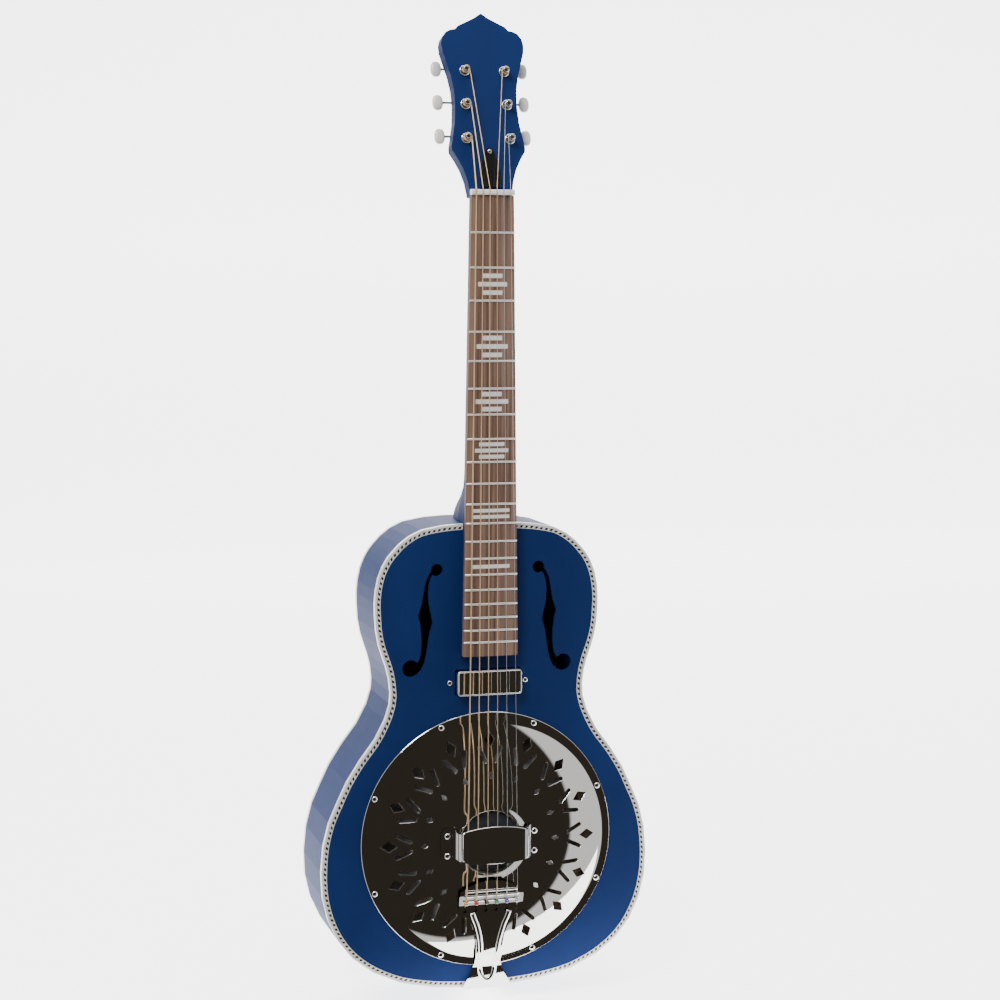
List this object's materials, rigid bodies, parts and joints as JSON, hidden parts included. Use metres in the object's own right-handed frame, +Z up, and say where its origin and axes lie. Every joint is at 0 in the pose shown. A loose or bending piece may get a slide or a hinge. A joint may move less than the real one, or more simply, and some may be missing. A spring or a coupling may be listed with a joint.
{
  "type": "resonator guitar",
  "caption": "Acoustic resonator guitar: waisted wooden body with f-holes, spun cone under a perforated metal coverplate, neck pickup, trapeze tailpiece and open-geared tuners.",
  "frame": {"origin": "back of the neck on its centre line level with the front edge of the nut, where a hanger's yoke holds the guitar", "axes": "+Z up the neck to the headstock's tip, soundboard facing -Y, +X to the treble side"},
  "size_m": [0.3326, 0.1265, 0.967],
  "materials": {
    "blue_lacquer": "satin dark blue lacquer over wood",
    "binding": "cream binding",
    "spruce": "bare spruce",
    "mahogany": "bare mahogany",
    "maple": "bare maple",
    "dark_lacquer": "dark stained maple",
    "rosewood": "oiled rosewood",
    "bone": "polished white bone",
    "button_cream": "cream plastic",
    "black_plastic": "black plastic",
    "chrome": "mirror chrome",
    "nickel": "nickel plate",
    "steel": "plain steel",
    "cone_aluminium": "spun aluminium",
    "bronze_wire": "phosphor bronze winding",
    "steel_wire": "plain steel wire"
  },
  "bodies": {
    "guitar": {"soundboard": "blue_lacquer", "back": "blue_lacquer", "rim_bass": "blue_lacquer", "rim_treble": "blue_lacquer", "top_binding": "binding", "back_binding": "binding", "lining_top": "spruce", "lining_back": "spruce", "neck_block": "mahogany", "tail_block": "mahogany", "soundwell": "maple", "back_brace_upper": "spruce", "back_brace_lower": "spruce", "cone": "cone_aluminium", "biscuit": "dark_lacquer", "saddle": "maple", "coverplate": "chrome", "handrest": "chrome", "handrest_screw_1": "chrome", "handrest_screw_2": "chrome", "handrest_screw_3": "chrome", "handrest_screw_4": "chrome", "tailpiece": "chrome", "end_pin_jack": "nickel", "pickup_cover": "chrome", "pickup_base": "steel", "pickup_screw_bass": "chrome", "pickup_screw_treble": "chrome", "neck": "blue_lacquer", "fingerboard": "rosewood", "nut": "bone", "truss_rod": "steel", "truss_rod_cover": "black_plastic", "truss_cover_screw": "nickel", "tuner_plate_bass": "nickel", "tuner_plate_treble": "nickel", "tuner_bushing_1": "chrome", "tuner_bushing_2": "chrome", "tuner_bushing_3": "chrome", "tuner_bushing_4": "chrome", "tuner_bushing_5": "chrome", "tuner_bushing_6": "chrome", "string_1": "steel_wire", "string_2": "steel_wire", "string_3": "bronze_wire", "string_4": "bronze_wire", "string_5": "bronze_wire", "string_6": "bronze_wire"},
    "post_1": {"tuner_post_1": "nickel"},
    "button_1": {"tuner_button_1": "button_cream"},
    "post_2": {"tuner_post_2": "nickel"},
    "button_2": {"tuner_button_2": "button_cream"},
    "post_3": {"tuner_post_3": "nickel"},
    "button_3": {"tuner_button_3": "button_cream"},
    "post_4": {"tuner_post_4": "nickel"},
    "button_4": {"tuner_button_4": "button_cream"},
    "post_5": {"tuner_post_5": "nickel"},
    "button_5": {"tuner_button_5": "button_cream"},
    "post_6": {"tuner_post_6": "nickel"},
    "button_6": {"tuner_button_6": "button_cream"}
  },
  "joints": [
    {"name": "button_spin_1", "type": "hinge", "parent": "guitar", "child": "button_1", "pos_m": [0.0432, 0.01569, 0.05643], "axis": [1, 0, 0], "continuous": true},
    {"name": "post_spin_1", "type": "hinge", "parent": "guitar", "child": "post_1", "pos_m": [0.0216, -0.00297, 0.05427], "axis": [0, -0.9744, 0.225], "continuous": true},
    {"name": "button_spin_2", "type": "hinge", "parent": "guitar", "child": "button_2", "pos_m": [0.0432, 0.02323, 0.08907], "axis": [1, 0, 0], "continuous": true},
    {"name": "post_spin_2", "type": "hinge", "parent": "guitar", "child": "post_2", "pos_m": [0.0205, 0.00457, 0.08691], "axis": [0, -0.9744, 0.225], "continuous": true},
    {"name": "button_spin_3", "type": "hinge", "parent": "guitar", "child": "button_3", "pos_m": [0.0432, 0.03068, 0.12132], "axis": [1, 0, 0], "continuous": true},
    {"name": "post_spin_3", "type": "hinge", "parent": "guitar", "child": "post_3", "pos_m": [0.0196, 0.01201, 0.11916], "axis": [0, -0.9744, 0.225], "continuous": true},
    {"name": "button_spin_4", "type": "hinge", "parent": "guitar", "child": "button_4", "pos_m": [-0.0432, 0.03068, 0.12132], "axis": [1, 0, 0], "continuous": true},
    {"name": "post_spin_4", "type": "hinge", "parent": "guitar", "child": "post_4", "pos_m": [-0.0196, 0.01201, 0.11916], "axis": [0, -0.9744, 0.225], "continuous": true},
    {"name": "button_spin_5", "type": "hinge", "parent": "guitar", "child": "button_5", "pos_m": [-0.0432, 0.02323, 0.08907], "axis": [1, 0, 0], "continuous": true},
    {"name": "post_spin_5", "type": "hinge", "parent": "guitar", "child": "post_5", "pos_m": [-0.0205, 0.00457, 0.08691], "axis": [0, -0.9744, 0.225], "continuous": true},
    {"name": "button_spin_6", "type": "hinge", "parent": "guitar", "child": "button_6", "pos_m": [-0.0432, 0.01569, 0.05643], "axis": [1, 0, 0], "continuous": true},
    {"name": "post_spin_6", "type": "hinge", "parent": "guitar", "child": "post_6", "pos_m": [-0.0216, -0.00297, 0.05427], "axis": [0, -0.9744, 0.225], "continuous": true}
  ],
  "couplings": [
    {"joint": "post_spin_1", "follows": "button_spin_1", "ratio": -0.071429},
    {"joint": "post_spin_2", "follows": "button_spin_2", "ratio": -0.071429},
    {"joint": "post_spin_3", "follows": "button_spin_3", "ratio": -0.071429},
    {"joint": "post_spin_4", "follows": "button_spin_4", "ratio": 0.071429},
    {"joint": "post_spin_5", "follows": "button_spin_5", "ratio": 0.071429},
    {"joint": "post_spin_6", "follows": "button_spin_6", "ratio": 0.071429}
  ]
}
